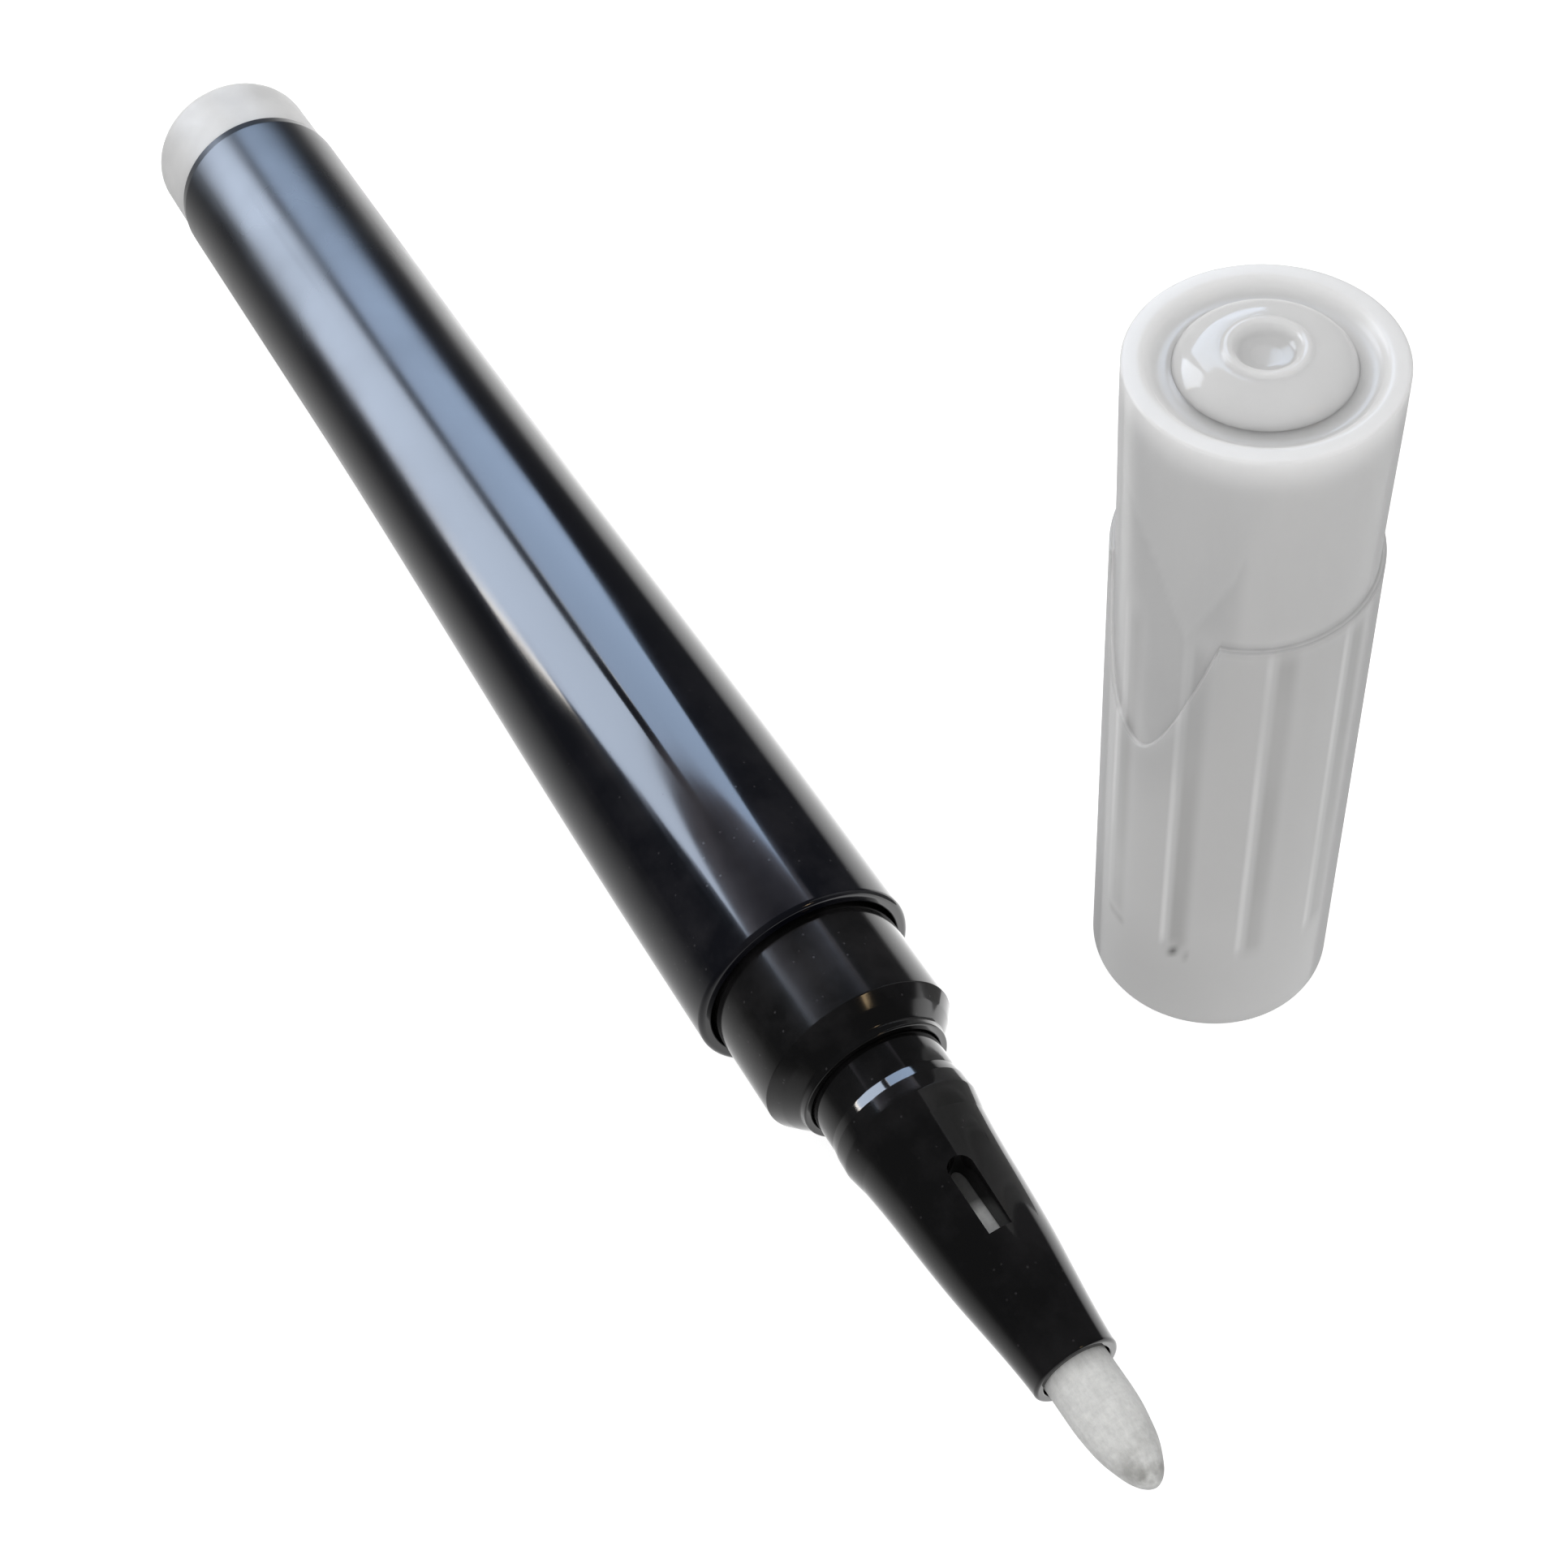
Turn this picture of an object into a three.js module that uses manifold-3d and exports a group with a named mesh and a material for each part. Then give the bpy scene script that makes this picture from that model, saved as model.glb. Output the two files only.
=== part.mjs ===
// Lens cleaning pen: a capped felt-tip marker filled with lens cleaning liquid.
// The pen lies level on the table along +X, nib first, and its cap stands mouth down beside it.
// Millimetres, +Z up; the origin is the middle of the pair's bounding box, on the table.
import * as THREE from "three";
import { mergeVertices } from "three/addons/utils/BufferGeometryUtils.js";
import Module from "manifold-3d";

// Barrel: a tapering tube. Stations along the pen run from its mouth, positive towards the nib.
const BARREL_RADIUS = 6.5;
const BARREL_TAIL_RADIUS = 5.88;
const BARREL_LENGTH = 80;
const BARREL_STRAIGHT = 8; // parallel length behind the mouth
const BARREL_TAPER_END = 58; // distance behind the mouth where the taper ends
const BARREL_END_RADIUS = 5.74; // at the very end, after a small round-over
const BARREL_END_EDGE = 1.2; // length of that round-over
const MOUTH_EDGE = 0.4; // length of the round-over at the mouth
const MOUTH_FACE_RADIUS = 6.15; // outer edge of the annular face inside the mouth's round-over
const COUNTERBORE_RADIUS = 5.8;
const COUNTERBORE_DEPTH = 8.4;
const BORE_RADIUS = 5.3;
const BORE_TAIL_RADIUS = 4.98;

// End plug: closes the tail and stands proud of it.
const PLUG_RADIUS = 5.7;
const PLUG_PROUD = 5.6;
const PLUG_EDGE = 0.95; // round-over of the end
const PLUG_DRAFT = 0.03; // narrowing of the cap from its shoulder to its end
const PLUG_SPIGOT_RADIUS = 4.72;
const PLUG_SPIGOT_LENGTH = 6;
const PLUG_WALL = 0.9;
const PLUG_LEAD = [0.4, 0.25]; // length and depth of the spigot's lead-in
const PLUG_FILLET = 0.5; // at the bottom of the hollow
const PLUG_SEAM = 0.12; // gap between the plug's shoulder and the barrel

// Collar: the neck that the cap slides over, pressed into the barrel's counterbore.
const NECK_RADIUS = 5.65;
const NECK_LENGTH = 5.75;
const NECK_INSERT = 8.1; // length hidden in the counterbore
const NECK_LEAD = [0.4, 0.2]; // length and depth of the insert's lead-in
const NECK_CORNER = 0.05; // softening of the edge between neck and cone
const RIM_RADIUS = 4.5; // small end of the lead-in cone
const CONE_END = 7.3;
const RIM_END = 7.75;
const RIM_EDGE = 0.12;
const RIM_BORE = 4.2;
const NECK_BORE = 5.02;
const LEDGE_START = 1.5; // the ledge that stops the nose's flange

// Nose: the tapering holder of the nib, entered through the collar from behind.
const FLANGE_RADIUS = 4.72;
const FLANGE_START = -0.6;
const FLANGE_END = 1.2;
const NOSE_COLLAR_RADIUS = 3.87;
const NOSE_COLLAR_END = 9.9;
const SHOULDER_RADIUS = 4.01;
const SHOULDER_AT = 10.9;
const SHOULDER_END = 13.4;
const SHOULDER_BULGE = 0.04; // fullness of the shoulder's front
const TAPER_RADIUS = 3.62;
const TAPER_MID = 20;
const TAPER_MID_RADIUS = 3.1;
const NOSE_MOUTH_RADIUS = 2.38;
const NOSE_END = 26.85;
const NOSE_EDGE = [0.35, 0.2]; // length and depth of the round-over at the nose's mouth
const NOSE_BORE = 2.06;
const VENT_WIDTH = 1.4;
const VENT_START = 15.3;
const VENT_END = 19.7;
const VENT_TURN = 2.5; // degrees round from the top

// Nib and reservoir
const NIB_RADIUS = 1.8;
const NIB_BACK = -8; // its back end, inside the reservoir
const NIB_PARALLEL_END = 28.6;
const NIB_TIP = 33.65;
const NIB_BLUNT = [2.1, 0.56]; // powers of the bullet's curve
const NIB_EDGE = 0.25; // chamfer of its back end
const NIB_STEPS = 7;
const CORE_RADIUS = 4.2;
const CORE_BACK = -73;
const CORE_FRONT = -3.2;
const CORE_SOCKET_RADIUS = 2.1;
const CORE_SOCKET_DEPTH = 6.2;
const FILM_INNER_RADIUS = 4.48;
const FILM_RADIUS = 4.66;

// Cap: outer shell
const CAP_HEIGHT = 44.2;
const SLEEVE_RADIUS = 6.55;
const SLEEVE_HEIGHT = 32.3;
const CAP_EDGE = 0.12; // small edges of the shell
const CAP_WAIST_RADIUS = 6.25;
const CAP_RIM_RADIUS = 6.36;
const CAP_BORE = 5.75;
const MOAT_RADIUS = 5.15; // inside of the rim round the inner cap's end
const MOAT_DEPTH = 0.8;
const MOAT_FLOOR = 1.1; // thickness of the floor
const MOAT_HOLE = 4.5;
const RIM_ROUND = 0.4; // round-over of the rim's two edges
const RIB_COUNT = 10;
const RIB_WIDTH = 1.1;
const RIB_FOOT = 6.6; // height of the ribs' lower ends above the mouth
const RIB_FOOT_RADIUS = 5.42;
const RIB_RADIUS = 4.98;
const RIB_LEAD = 2; // length of the sloping foot
const RIB_TOP = 32;
const RIB_TURN = -18; // azimuth of one rib, degrees
// Thumb notch in the sleeve's upper edge: a steepening parabola on its left, a hyperbola's branch
// on its right.
const NOTCH_TURN = -83; // azimuth of its lowest point, degrees
const NOTCH_BOTTOM = 22.3;
const NOTCH_LEFT_CURVE = 0.31; // rise of the parabola, per mm
const NOTCH_LEFT_REACH = 5; // distance aside where it would stand upright
const NOTCH_RIGHT_SLOPE = 4.2;
const NOTCH_RIGHT_BEND = 2.6;
const NOTCH_STEPS = 12;
const NOTCH_HALVES = [4.05, 4.4]; // distance aside at the sleeve's top, left and right

// Cap: inner seal, a long thimble that closes over the nose
const SEAL_TOP_RADIUS = 4.2;
const SEAL_MOUTH_RADIUS = 4.7;
const SEAL_MOUTH = 9.5; // height of its lower edge
const SEAL_MOUTH_EDGE = 0.1;
const SEAL_MOUTH_WALL = 0.45;
const DOME_FOOT = 42.9; // height where the side turns into the dome
const DOME_FULLNESS = 2.6; // power of the dome's curve; 2 is an ellipse
const DOME_STEPS = 6;
const SEAL_CROWN = 45.1; // height of the dimple's lip
const LIP_WIDTH = 0.25;
const LIP_HEIGHT = 0.15;
const DIMPLE_RADIUS = 1.7;
const DIMPLE_DEPTH = 0.65;
const SEAL_INNER_TOP = 42.3;
const SEAL_INNER_DOME = 0.4;
const SEAL_INNER_TOP_RADIUS = 3.3;
const SEAL_INNER_RADIUS = 4.0;
const SEAL_INNER_LEAD = 2; // length of the flare at the mouth

// Where the two stand, from the barrel's mouth on the pen's axis
const CAP_AHEAD = 5.32;
const CAP_ASIDE = 23.17;

const TAIL_END = -(BARREL_LENGTH + PLUG_PROUD);
const PEN_PLACE = new THREE.Vector3(
  -(NIB_TIP + TAIL_END) / 2,
  -(CAP_ASIDE + SLEEVE_RADIUS - BARREL_RADIUS) / 2,
  BARREL_RADIUS,
);
const CAP_PLACE = new THREE.Vector3(
  PEN_PLACE.x + CAP_AHEAD,
  PEN_PLACE.y + CAP_ASIDE,
  0,
);

const SEGMENTS = 48;
const INNER_SEGMENTS = 32; // round the nib and the reservoir
const OUTSIDE = 20; // a length past any surface, for cutters
const SINK = 0.3; // how far a rib reaches into the wall it grows from

const { Manifold, Mesh: SolidMesh } = await Module().then((wasm) => {
  wasm.setup();
  return wasm;
});

// A surface of revolution from [station, radius] pairs, counter-clockwise in (radius, station).
// The profile ends on the axis, or is closed here.
function turned(pairs, segments = SEGMENTS) {
  const profile = pairs.map(([station, radius]) => new THREE.Vector2(radius, station));
  const [first, last] = [profile[0], profile[profile.length - 1]];
  if (first.x > 0 || last.x > 0) profile.push(first.clone());
  return new THREE.LatheGeometry(profile, segments);
}

// Lathe stations run along Y: laid along +X for the pen, stood up along +Z for the cap.
const along = (geometry) => geometry.rotateZ(-Math.PI / 2);
const upright = (geometry) => geometry.rotateX(Math.PI / 2);

function toSolid(geometry) {
  const bare = new THREE.BufferGeometry().setAttribute(
    "position",
    (geometry.index ? geometry.toNonIndexed() : geometry).getAttribute("position"),
  );
  const merged = mergeVertices(bare, 1e-4);
  const corners = [];
  for (let i = 0; i < merged.index.count; i += 3) {
    const [a, b, c] = [0, 1, 2].map((k) => merged.index.getX(i + k));
    if (a !== b && b !== c && c !== a) corners.push(a, b, c);
  }
  return new Manifold(
    new SolidMesh({
      numProp: 3,
      vertProperties: Float32Array.from(merged.attributes.position.array),
      triVerts: Uint32Array.from(corners),
    }),
  );
}

function toGeometry(solid) {
  const mesh = solid.getMesh();
  const points = new Float32Array(mesh.numVert * 3);
  for (let i = 0; i < mesh.numVert; i++)
    points.set(mesh.vertProperties.subarray(i * mesh.numProp, i * mesh.numProp + 3), i * 3);
  const geometry = new THREE.BufferGeometry();
  geometry.setAttribute("position", new THREE.BufferAttribute(points, 3));
  geometry.setIndex(new THREE.BufferAttribute(Uint32Array.from(mesh.triVerts), 1));
  geometry.computeVertexNormals();
  return geometry;
}

// Points of a quarter round from one [station, radius] to another, bulging away from the axis:
// the radius leaves its start flat and arrives at the end square.
function quarter([s0, r0], [s1, r1], steps = 4) {
  return Array.from({ length: steps + 1 }, (_, i) => {
    const t = (i / steps) * (Math.PI / 2);
    return [s0 + (s1 - s0) * Math.sin(t), r1 + (r0 - r1) * Math.cos(t)];
  });
}

const group = new THREE.Group();
group.name = "lens_cleaning_pen";

function add(name, geometry, place, look) {
  const mesh = new THREE.Mesh(geometry, new THREE.MeshStandardMaterial(look));
  mesh.name = name;
  mesh.position.copy(place);
  group.add(mesh);
}

function barrel() {
  const tail = -BARREL_LENGTH;
  return along(
    turned([
      [tail, BORE_TAIL_RADIUS],
      [tail, BARREL_END_RADIUS],
      [tail + BARREL_END_EDGE, BARREL_TAIL_RADIUS],
      [-BARREL_TAPER_END, BARREL_TAIL_RADIUS],
      [-(BARREL_TAPER_END + BARREL_STRAIGHT) / 2, (BARREL_RADIUS + BARREL_TAIL_RADIUS) / 2],
      [-BARREL_STRAIGHT, BARREL_RADIUS],
      ...quarter([-MOUTH_EDGE, BARREL_RADIUS], [0, MOUTH_FACE_RADIUS]),
      [0, COUNTERBORE_RADIUS],
      [-COUNTERBORE_DEPTH, COUNTERBORE_RADIUS],
      [-COUNTERBORE_DEPTH, BORE_RADIUS],
    ]),
  );
}

function endPlug() {
  const shoulder = -BARREL_LENGTH - PLUG_SEAM;
  const spigotEnd = -BARREL_LENGTH + PLUG_SPIGOT_LENGTH;
  const inner = PLUG_SPIGOT_RADIUS - PLUG_WALL;
  const end = quarter(
    [TAIL_END + PLUG_EDGE, PLUG_RADIUS - PLUG_DRAFT],
    [TAIL_END, PLUG_RADIUS - PLUG_DRAFT - PLUG_EDGE],
  );
  const hollowEnd = TAIL_END + 2 * PLUG_WALL;
  return along(
    turned([
      [TAIL_END, 0],
      ...end.reverse(),
      [shoulder, PLUG_RADIUS],
      [shoulder, PLUG_SPIGOT_RADIUS],
      [spigotEnd - PLUG_LEAD[0], PLUG_SPIGOT_RADIUS],
      [spigotEnd, PLUG_SPIGOT_RADIUS - PLUG_LEAD[1]],
      [spigotEnd, inner],
      [hollowEnd + PLUG_FILLET, inner],
      [hollowEnd, inner - PLUG_FILLET],
      [hollowEnd, 0],
    ]),
  );
}

function collar() {
  return along(
    turned([
      [-NECK_INSERT, NECK_BORE],
      [-NECK_INSERT, NECK_RADIUS - NECK_LEAD[1]],
      [-NECK_INSERT + NECK_LEAD[0], NECK_RADIUS],
      [NECK_LENGTH - NECK_CORNER, NECK_RADIUS],
      [NECK_LENGTH + NECK_CORNER, NECK_RADIUS - NECK_CORNER],
      [CONE_END, RIM_RADIUS],
      [RIM_END - RIM_EDGE, RIM_RADIUS],
      [RIM_END, RIM_RADIUS - RIM_EDGE],
      [RIM_END, RIM_BORE],
      [LEDGE_START, RIM_BORE],
      [LEDGE_START, NECK_BORE],
    ]),
  );
}

function nose() {
  const body = toSolid(
    along(
      turned([
        [FLANGE_START, NOSE_BORE],
        [FLANGE_START, FLANGE_RADIUS],
        [FLANGE_END, FLANGE_RADIUS],
        [FLANGE_END, NOSE_COLLAR_RADIUS],
        [NOSE_COLLAR_END, NOSE_COLLAR_RADIUS],
        [(NOSE_COLLAR_END + SHOULDER_AT) / 2, (NOSE_COLLAR_RADIUS + SHOULDER_RADIUS) / 2],
        [SHOULDER_AT, SHOULDER_RADIUS],
        [
          (SHOULDER_AT + SHOULDER_END) / 2,
          (SHOULDER_RADIUS + TAPER_RADIUS) / 2 + SHOULDER_BULGE,
        ],
        [SHOULDER_END, TAPER_RADIUS],
        [TAPER_MID, TAPER_MID_RADIUS],
        [NOSE_END - NOSE_EDGE[0], NOSE_MOUTH_RADIUS],
        [NOSE_END, NOSE_MOUTH_RADIUS - NOSE_EDGE[1]],
        [NOSE_END, NOSE_BORE],
      ]),
    ),
  );
  // One vent slot, rounded at its back end and square at its front, cut from the top to the bore.
  const half = VENT_WIDTH / 2;
  const outline = new THREE.Shape()
    .moveTo(VENT_START + half, half)
    .absarc(VENT_START + half, 0, half, Math.PI / 2, (3 * Math.PI) / 2, false)
    .lineTo(VENT_END, -half)
    .lineTo(VENT_END, half)
    .closePath();
  const slot = new THREE.ExtrudeGeometry(outline, {
    depth: OUTSIDE,
    bevelEnabled: false,
    curveSegments: 8,
  });
  slot.rotateX(THREE.MathUtils.degToRad(-VENT_TURN));
  return toGeometry(body.subtract(toSolid(slot)));
}

function nib() {
  const length = NIB_TIP - NIB_PARALLEL_END;
  const [swell, blunt] = NIB_BLUNT;
  // A bullet: the radius follows a slightly blunt ellipse over the last stretch.
  const bullet = Array.from({ length: NIB_STEPS }, (_, i) => {
    const t = i / NIB_STEPS;
    return [NIB_PARALLEL_END + length * t, NIB_RADIUS * (1 - t ** swell) ** blunt];
  });
  return along(
    turned(
      [
        [NIB_BACK, 0],
        [NIB_BACK, NIB_RADIUS - NIB_EDGE],
        [NIB_BACK + NIB_EDGE, NIB_RADIUS],
        ...bullet,
        [NIB_TIP, 0],
      ],
      INNER_SEGMENTS,
    ),
  );
}

function reservoirCore() {
  const socketEnd = CORE_FRONT - CORE_SOCKET_DEPTH;
  return along(
    turned(
      [
        [CORE_BACK, 0],
        [CORE_BACK, CORE_RADIUS],
        [CORE_FRONT, CORE_RADIUS],
        [CORE_FRONT, CORE_SOCKET_RADIUS],
        [socketEnd, CORE_SOCKET_RADIUS],
        [socketEnd, 0],
      ],
      INNER_SEGMENTS,
    ),
  );
}

function reservoirFilm() {
  return along(
    turned(
      [
        [CORE_BACK, FILM_INNER_RADIUS],
        [CORE_BACK, FILM_RADIUS],
        [CORE_FRONT, FILM_RADIUS],
        [CORE_FRONT, FILM_INNER_RADIUS],
      ],
      INNER_SEGMENTS,
    ),
  );
}

// Height of the notch's edge at a distance round the sleeve from its lowest point.
function notchEdge(aside) {
  const left = aside ** 2 / (1 - (-aside / NOTCH_LEFT_REACH) ** 3);
  const right = Math.hypot(aside, NOTCH_RIGHT_BEND) - NOTCH_RIGHT_BEND;
  return NOTCH_BOTTOM + (aside < 0 ? NOTCH_LEFT_CURVE * left : NOTCH_RIGHT_SLOPE * right);
}

function capShell() {
  const moatFloor = CAP_HEIGHT - MOAT_DEPTH;
  let shell = toSolid(
    upright(
      turned([
        [0, CAP_BORE + CAP_EDGE],
        [0, SLEEVE_RADIUS - CAP_EDGE],
        [CAP_EDGE, SLEEVE_RADIUS],
        [SLEEVE_HEIGHT - CAP_EDGE, SLEEVE_RADIUS],
        [SLEEVE_HEIGHT, SLEEVE_RADIUS - CAP_EDGE],
        [SLEEVE_HEIGHT, CAP_WAIST_RADIUS],
        [CAP_HEIGHT - RIM_ROUND, CAP_RIM_RADIUS],
        [CAP_HEIGHT, CAP_RIM_RADIUS - CAP_EDGE],
        [CAP_HEIGHT, MOAT_RADIUS + RIM_ROUND],
        [CAP_HEIGHT - RIM_ROUND / 2, MOAT_RADIUS + RIM_ROUND / 6],
        [CAP_HEIGHT - RIM_ROUND, MOAT_RADIUS],
        [moatFloor, MOAT_RADIUS],
        [moatFloor, MOAT_HOLE],
        [moatFloor - MOAT_FLOOR, MOAT_HOLE],
        [moatFloor - MOAT_FLOOR, CAP_BORE],
        [3 * CAP_EDGE, CAP_BORE],
      ]),
    ),
  );

  // Ribs down the inside, each with a sloping foot that leads the neck in.
  const side = new THREE.Shape()
    .moveTo(CAP_BORE + SINK, RIB_FOOT)
    .lineTo(CAP_BORE + SINK, RIB_TOP)
    .lineTo(RIB_RADIUS, RIB_TOP)
    .lineTo(RIB_RADIUS, RIB_FOOT + RIB_LEAD)
    .lineTo(RIB_FOOT_RADIUS, RIB_FOOT)
    .closePath();
  for (let i = 0; i < RIB_COUNT; i++) {
    const rib = new THREE.ExtrudeGeometry(side, { depth: RIB_WIDTH, bevelEnabled: false });
    rib.translate(0, 0, -RIB_WIDTH / 2).rotateX(Math.PI / 2);
    rib.rotateZ(THREE.MathUtils.degToRad(RIB_TURN) + (i * 2 * Math.PI) / RIB_COUNT);
    shell = shell.add(toSolid(rib));
  }

  // The notch takes the sleeve's extra thickness away down to the waist's radius.
  const [left, right] = NOTCH_HALVES;
  const edge = Array.from({ length: NOTCH_STEPS + 1 }, (_, i) => {
    const aside = -left + ((left + right) * i) / NOTCH_STEPS;
    return new THREE.Vector2(
      SLEEVE_RADIUS * Math.sin(aside / SLEEVE_RADIUS),
      Math.min(notchEdge(aside), CAP_HEIGHT),
    );
  });
  const outline = new THREE.Shape([
    new THREE.Vector2(edge[0].x, CAP_HEIGHT),
    ...edge,
    new THREE.Vector2(edge[NOTCH_STEPS].x, CAP_HEIGHT),
  ]);
  const prism = new THREE.ExtrudeGeometry(outline, { depth: OUTSIDE, bevelEnabled: false });
  // Outline x runs round the cap and outline y up it; the depth runs outwards from the axis.
  prism.applyMatrix4(
    new THREE.Matrix4().makeBasis(
      new THREE.Vector3(0, 1, 0),
      new THREE.Vector3(0, 0, 1),
      new THREE.Vector3(1, 0, 0),
    ),
  );
  prism.rotateZ(THREE.MathUtils.degToRad(NOTCH_TURN));
  const waist = upright(
    new THREE.CylinderGeometry(CAP_WAIST_RADIUS, CAP_WAIST_RADIUS, 3 * CAP_HEIGHT, SEGMENTS),
  );
  return toGeometry(shell.subtract(toSolid(prism).subtract(toSolid(waist))));
}

function capSeal() {
  const lip = DIMPLE_RADIUS + LIP_WIDTH;
  const shoulder = SEAL_CROWN - LIP_HEIGHT;
  const dome = Array.from({ length: DOME_STEPS + 1 }, (_, i) => {
    const out = Math.cos((i / DOME_STEPS) * (Math.PI / 2));
    const up = (1 - out ** DOME_FULLNESS) ** (1 / DOME_FULLNESS);
    return [
      DOME_FOOT + (shoulder - DOME_FOOT) * up,
      lip + (SEAL_TOP_RADIUS - lip) * out,
    ];
  });
  const floor = SEAL_CROWN - DIMPLE_DEPTH;
  return upright(
    turned([
      [SEAL_INNER_TOP, 0],
      [SEAL_INNER_TOP - SEAL_INNER_DOME, SEAL_INNER_TOP_RADIUS],
      [SEAL_MOUTH + SEAL_INNER_LEAD, SEAL_INNER_RADIUS],
      [SEAL_MOUTH, SEAL_MOUTH_RADIUS - SEAL_MOUTH_WALL],
      [SEAL_MOUTH, SEAL_MOUTH_RADIUS - SEAL_MOUTH_EDGE],
      [SEAL_MOUTH + SEAL_MOUTH_EDGE, SEAL_MOUTH_RADIUS],
      ...dome,
      [SEAL_CROWN, lip - LIP_WIDTH / 2],
      [SEAL_CROWN, DIMPLE_RADIUS - LIP_WIDTH / 2],
      [SEAL_CROWN - DIMPLE_DEPTH / 2, DIMPLE_RADIUS - LIP_WIDTH],
      [floor, DIMPLE_RADIUS / 2],
      [floor, 0],
    ]),
  );
}

const GLOSS_BLACK = { color: 0x0c0c0f, roughness: 0.12, metalness: 0 };
const SATIN_BLACK = { color: 0x111113, roughness: 0.35, metalness: 0 };
const MILKY = { color: 0xe9e9e7, roughness: 0.4, metalness: 0 };
const FROSTED = { color: 0xd4d6d6, roughness: 0.45, metalness: 0 };
const FELT = { color: 0xc9c9c4, roughness: 0.95, metalness: 0 };
const FIBRE = { color: 0xeeeeea, roughness: 1, metalness: 0 };
const FILM = { color: 0xf4f4f4, roughness: 0.3, metalness: 0 };

add("barrel", barrel(), PEN_PLACE, GLOSS_BLACK);
add("end_plug", endPlug(), PEN_PLACE, MILKY);
add("collar", collar(), PEN_PLACE, SATIN_BLACK);
add("nose_cone", nose(), PEN_PLACE, SATIN_BLACK);
add("nib", nib(), PEN_PLACE, FELT);
add("reservoir_core", reservoirCore(), PEN_PLACE, FIBRE);
add("reservoir_film", reservoirFilm(), PEN_PLACE, FILM);
add("cap_shell", capShell(), CAP_PLACE, FROSTED);
add("cap_inner_seal", capSeal(), CAP_PLACE, FROSTED);

export default group;
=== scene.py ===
"""Looks of the lens cleaning pen and of the cap that stands beside it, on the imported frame.

Sizes are millimetres; stations run along the pen from the barrel's mouth, positive towards the
nib, and heights run up the cap from the table.
"""

import math

import bmesh
import bpy
import numpy as np
from mathutils import Matrix, Vector


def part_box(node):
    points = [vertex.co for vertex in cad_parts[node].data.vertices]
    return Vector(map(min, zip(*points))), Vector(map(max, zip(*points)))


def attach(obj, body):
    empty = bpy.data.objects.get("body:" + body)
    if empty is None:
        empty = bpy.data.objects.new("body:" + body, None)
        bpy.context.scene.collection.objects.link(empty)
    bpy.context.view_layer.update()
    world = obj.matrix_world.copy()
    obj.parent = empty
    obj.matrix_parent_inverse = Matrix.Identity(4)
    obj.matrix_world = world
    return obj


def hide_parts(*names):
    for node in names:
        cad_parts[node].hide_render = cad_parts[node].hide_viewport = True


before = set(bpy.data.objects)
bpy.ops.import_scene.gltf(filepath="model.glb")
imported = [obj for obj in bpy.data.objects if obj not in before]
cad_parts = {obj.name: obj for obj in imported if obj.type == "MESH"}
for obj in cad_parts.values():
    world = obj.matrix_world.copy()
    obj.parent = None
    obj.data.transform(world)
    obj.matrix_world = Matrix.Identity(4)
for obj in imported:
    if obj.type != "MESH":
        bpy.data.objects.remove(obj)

MM = 0.001
TURN = 2 * math.pi
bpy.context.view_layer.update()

# Where the pen and its cap are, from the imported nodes.
barrel_low, barrel_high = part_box("barrel")
PEN_MOUTH = Vector(
    (
        barrel_high.x,
        (barrel_low.y + barrel_high.y) / 2,
        (barrel_low.z + barrel_high.z) / 2,
    )
)
cap_low, cap_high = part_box("cap_shell")
CAP_FOOT = Vector(
    ((cap_low.x + cap_high.x) / 2, (cap_low.y + cap_high.y) / 2, cap_low.z)
)

# Barrel
BARREL_LENGTH = 80.0
BARREL_RADIUS = 6.5
TAIL_RADIUS = 5.88
TAIL_END_RADIUS = 5.74
TAPER_FROM, TAPER_TO = -58.0, -8.0
TAIL_EDGE = 0.75  # length of the narrowing next to the plug
LIP_FILLET = 0.34
COUNTERBORE = (5.8, 8.4)  # radius, depth
BORE = (5.3, 4.98)  # radius at the counterbore and at the tail

# End plug
PLUG_RADIUS = 5.7
PLUG_PROUD = 5.6
PLUG_FILLET = 1.0
PLUG_WALLS = (0.9, 1.8)  # round the spigot and across the end
GATE_RADII = (0.9, 1.15)  # the sunk moulding mark in the middle of the end
GATE_DEPTH = 0.12
SPIGOT_RADIUS = 4.72
SPIGOT_LENGTH = 6.0

# Collar
NECK_RADIUS = 5.65
NECK_INSERT = 8.1
CONE_STATIONS = (5.8, 7.2)
CONE_BELLY = (6.5, 5.1)  # station and radius where the lead-in bends most
RIM_RADIUS = 4.4
RIM_END = 7.65
NECK_BORE = 5.02
RIM_BORE = 3.93
RIM_BORE_FROM = 1.5

# Nose
NOSE_STATIONS = (13.4, 15.3, 17.0, 19.0, 20.5, 22.4, 24.3, 26.1, 26.85)
NOSE_RADII = (3.66, 3.5, 3.38, 3.22, 3.07, 2.83, 2.6, 2.43, 2.39)
NOSE_TAPER_FROM, NOSE_LIP_FROM = 14.0, 26.45
NOSE_FLANGE = (-0.6, 1.2, 4.72)  # from, to, radius
NOSE_NECK = 3.87
NOSE_BORE = 1.9
VENT_WIDTH = 1.4
VENT_FROM, VENT_TO = 15.3, 19.7
VENT_TURN = math.radians(2.5)
VENT_RADIUS = 3.35  # the nose's radius at which the slot's width is measured
VENT_COLUMNS = 24

# Nib
NIB_RADIUS = 1.8
NIB_BACK, NIB_SHOULDER, NIB_TIP = -8.0, 28.6, 33.65
NIB_POWERS = (2.2, 0.53)  # of the bullet's curve, along and across; 2 and 0.5 are an ellipse
NIB_OVAL, NIB_DENTS = 0.03, 0.012  # how far the tip is out of round, as shares of its radius

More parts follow.
